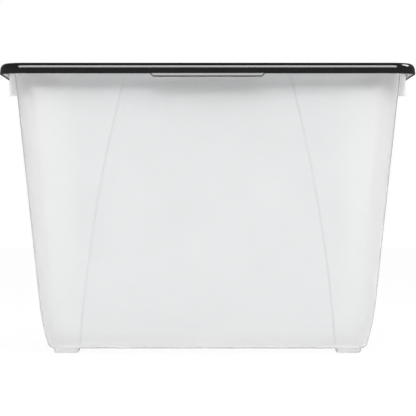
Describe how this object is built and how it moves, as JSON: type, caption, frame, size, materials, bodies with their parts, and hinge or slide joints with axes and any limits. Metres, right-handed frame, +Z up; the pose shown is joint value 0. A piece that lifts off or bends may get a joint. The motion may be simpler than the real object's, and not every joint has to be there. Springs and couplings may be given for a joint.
{
  "type": "portable file box",
  "caption": "Portable file storage box: a translucent drafted tub with recessed front and back panels, end grips and stub feet, closed by a black lift-off lid with opening lips.",
  "frame": {"origin": "on the ground under the middle of the box", "axes": "+X along the long side, +Z up, and the front with its opening lip faces -Y"},
  "size_m": [0.4, 0.3044, 0.28],
  "materials": {
    "clear_plastic": "translucent natural polypropylene, softly hazed",
    "black_plastic": "black polypropylene with a satin gloss"
  },
  "bodies": {
    "tote": {"tote_body": "clear_plastic"},
    "lid": {"lid": "black_plastic"}
  },
  "joints": [
    {"name": "lid_lift", "type": "slide", "parent": "tote", "child": "lid", "axis": [0, 0, 1], "range_m": [0, 0.12]}
  ]
}
